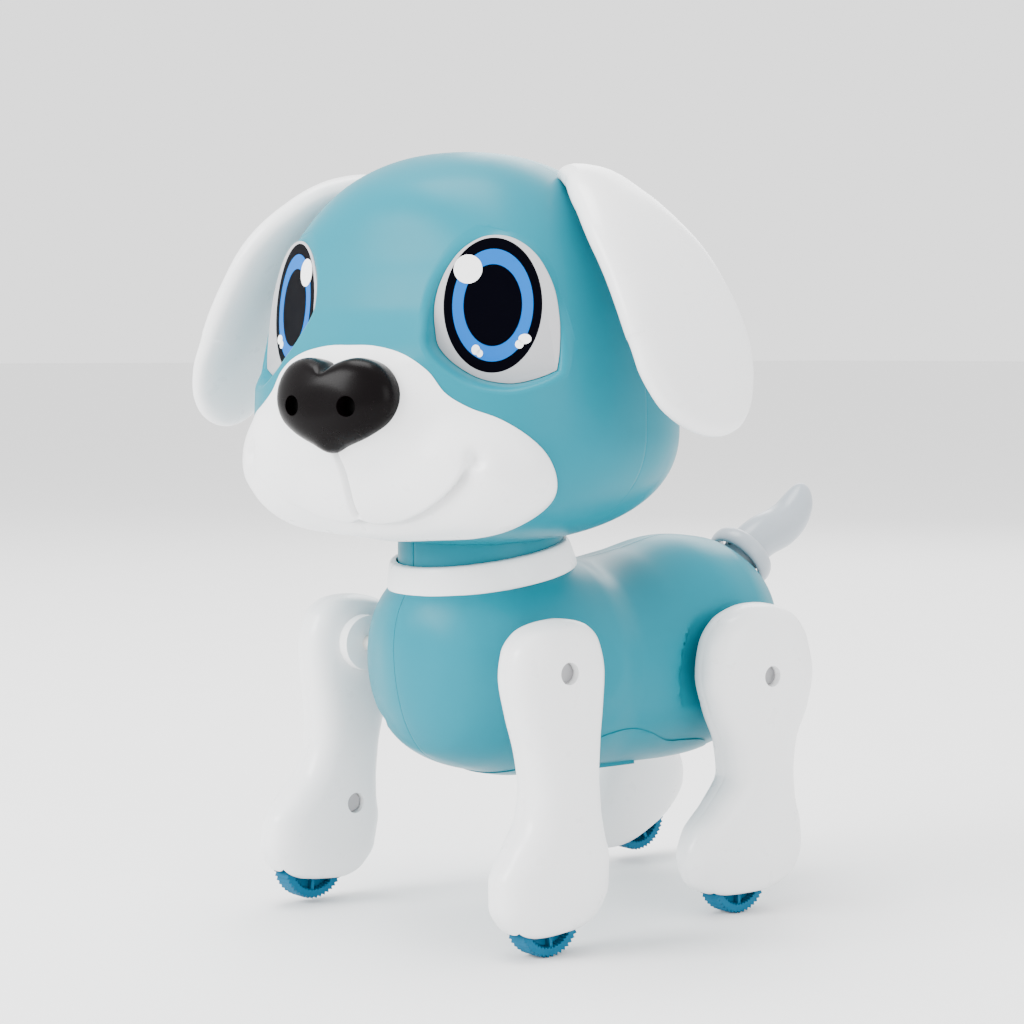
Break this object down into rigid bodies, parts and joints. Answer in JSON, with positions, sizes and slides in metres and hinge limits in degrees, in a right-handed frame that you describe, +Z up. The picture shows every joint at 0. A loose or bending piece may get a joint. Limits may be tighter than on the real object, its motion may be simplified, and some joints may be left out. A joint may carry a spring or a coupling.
{
  "type": "robot dog toy",
  "caption": "Robot puppy toy with a turning domed head, hanging ears, lit eye panels, swinging legs with a knurled wheel in each foot, and a wagging tail.",
  "frame": {"origin": "on the floor, under the middle of the footprint box", "axes": "-Y is the way the toy faces, +X its left side, +Z up"},
  "size_m": [0.1837, 0.2171, 0.2306],
  "materials": {
    "cyan_plastic": "semi-gloss",
    "white_plastic": "gloss",
    "pale_grey_plastic": "semi-gloss",
    "teal_plastic": "satin",
    "black_plastic": "gloss",
    "eye_lens": "gloss",
    "circuit_board": "satin",
    "battery_wrap": "satin",
    "gear_plastic": "satin",
    "frame_plastic": "satin",
    "steel": "brushed"
  },
  "bodies": {
    "torso": {"battery_door": "cyan_plastic", "battery_pack": "battery_wrap", "belly_cover": "cyan_plastic", "body_left_shell": "cyan_plastic", "body_right_shell": "cyan_plastic", "body_screws": "steel", "charging_socket": "black_plastic", "collar_ring": "white_plastic", "front_gearbox": "frame_plastic", "front_motor": "steel", "main_board": "circuit_board", "neck_retainer": "frame_plastic", "power_switch": "black_plastic", "rear_gearbox": "frame_plastic", "rear_motor": "steel", "speaker": "black_plastic", "tail_pin": "steel", "tail_ring": "pale_grey_plastic"},
    "power_switch_knob": {"power_switch_knob": "black_plastic"},
    "front_pinion": {"front_pinion": "gear_plastic"},
    "rear_pinion": {"rear_pinion": "gear_plastic"},
    "head": {"head_front_shell": "cyan_plastic", "head_rear_shell": "cyan_plastic", "muzzle_cover": "white_plastic", "nose_cover": "black_plastic", "nose_sensors": "black_plastic", "eye_panel_left": "eye_lens", "eye_panel_right": "eye_lens", "eye_light_boards": "circuit_board", "head_screws": "steel"},
    "ear_left": {"ear_left": "white_plastic"},
    "ear_right": {"ear_right": "white_plastic"},
    "tail": {"tail": "pale_grey_plastic"},
    "front_left_leg": {"front_left_hip_shaft": "gear_plastic", "front_left_leg_inner_shell": "white_plastic", "front_left_leg_outer_shell": "white_plastic", "front_left_leg_screws": "steel", "front_left_wheel_axle": "steel"},
    "front_left_wheel": {"front_left_wheel": "teal_plastic"},
    "front_right_leg": {"front_right_hip_shaft": "gear_plastic", "front_right_leg_inner_shell": "white_plastic", "front_right_leg_outer_shell": "white_plastic", "front_right_leg_screws": "steel", "front_right_wheel_axle": "steel"},
    "front_right_wheel": {"front_right_wheel": "teal_plastic"},
    "rear_left_leg": {"rear_left_hip_shaft": "gear_plastic", "rear_left_leg_inner_shell": "white_plastic", "rear_left_leg_outer_shell": "white_plastic", "rear_left_leg_screws": "steel", "rear_left_wheel_axle": "steel"},
    "rear_left_wheel": {"rear_left_wheel": "teal_plastic"},
    "rear_right_leg": {"rear_right_hip_shaft": "gear_plastic", "rear_right_leg_inner_shell": "white_plastic", "rear_right_leg_outer_shell": "white_plastic", "rear_right_leg_screws": "steel", "rear_right_wheel_axle": "steel"},
    "rear_right_wheel": {"rear_right_wheel": "teal_plastic"}
  },
  "joints": [
    {"name": "head_turn", "type": "hinge", "parent": "torso", "child": "head", "pos_m": [-0.00268, -0.0289, 0.1175], "axis": [0, 0, 1], "range_deg": [-46, 14]},
    {"name": "ear_left_lift", "type": "hinge", "parent": "head", "child": "ear_left", "pos_m": [0.03234, -0.02406, 0.2195], "axis": [0.2756, -0.9613, 0], "range_deg": [0, 22]},
    {"name": "ear_right_lift", "type": "hinge", "parent": "head", "child": "ear_right", "pos_m": [-0.03495, -0.04335, 0.2195], "axis": [-0.2756, 0.9613, 0], "range_deg": [0, 22]},
    {"name": "front_left_hip", "type": "hinge", "parent": "torso", "child": "front_left_leg", "pos_m": [-0.00268, -0.0429, 0.0815], "axis": [1, 0, 0], "range_deg": [-27, 17]},
    {"name": "front_left_wheel_spin", "type": "hinge", "parent": "front_left_leg", "child": "front_left_wheel", "pos_m": [0.04832, -0.04557, 0.011], "axis": [1, 0, 0], "continuous": true},
    {"name": "front_right_hip", "type": "hinge", "parent": "torso", "child": "front_right_leg", "pos_m": [-0.00268, -0.0429, 0.0815], "axis": [1, 0, 0], "range_deg": [-17, 27]},
    {"name": "front_right_wheel_spin", "type": "hinge", "parent": "front_right_leg", "child": "front_right_wheel", "pos_m": [-0.05368, -0.05777, 0.01253], "axis": [1, 0, 0], "continuous": true},
    {"name": "rear_left_hip", "type": "hinge", "parent": "torso", "child": "rear_left_leg", "pos_m": [-0.00268, 0.0451, 0.073], "axis": [1, 0, 0], "range_deg": [-8, 36]},
    {"name": "rear_left_wheel_spin", "type": "hinge", "parent": "rear_left_leg", "child": "rear_left_wheel", "pos_m": [0.03852, 0.0371, 0.011], "axis": [1, 0, 0], "continuous": true},
    {"name": "rear_right_hip", "type": "hinge", "parent": "torso", "child": "rear_right_leg", "pos_m": [-0.00268, 0.0451, 0.073], "axis": [1, 0, 0], "range_deg": [-36, 8]},
    {"name": "rear_right_wheel_spin", "type": "hinge", "parent": "rear_right_leg", "child": "rear_right_wheel", "pos_m": [-0.04388, 0.06714, 0.0145], "axis": [1, 0, 0], "continuous": true},
    {"name": "front_pinion_spin", "type": "hinge", "parent": "torso", "child": "front_pinion", "pos_m": [-0.00268, -0.0319, 0.0815], "axis": [0, 1, 0], "range_deg": [-62, 62]},
    {"name": "rear_pinion_spin", "type": "hinge", "parent": "torso", "child": "rear_pinion", "pos_m": [-0.00268, 0.0341, 0.073], "axis": [0, 1, 0], "range_deg": [-82, 82]},
    {"name": "tail_wag", "type": "hinge", "parent": "torso", "child": "tail", "pos_m": [-0.00268, 0.0781, 0.105], "axis": [0, -0.6157, 0.788], "range_deg": [-12, 12]},
    {"name": "power_switch_slide", "type": "slide", "parent": "torso", "child": "power_switch_knob", "axis": [1, 0, 0], "range_m": [0, 0.003]}
  ],
  "couplings": [
    {"joint": "front_right_hip", "follows": "front_left_hip", "ratio": -1},
    {"joint": "front_pinion_spin", "follows": "front_left_hip", "ratio": -2.2},
    {"joint": "rear_right_hip", "follows": "rear_left_hip", "ratio": -1},
    {"joint": "rear_pinion_spin", "follows": "rear_left_hip", "ratio": 2.2}
  ]
}
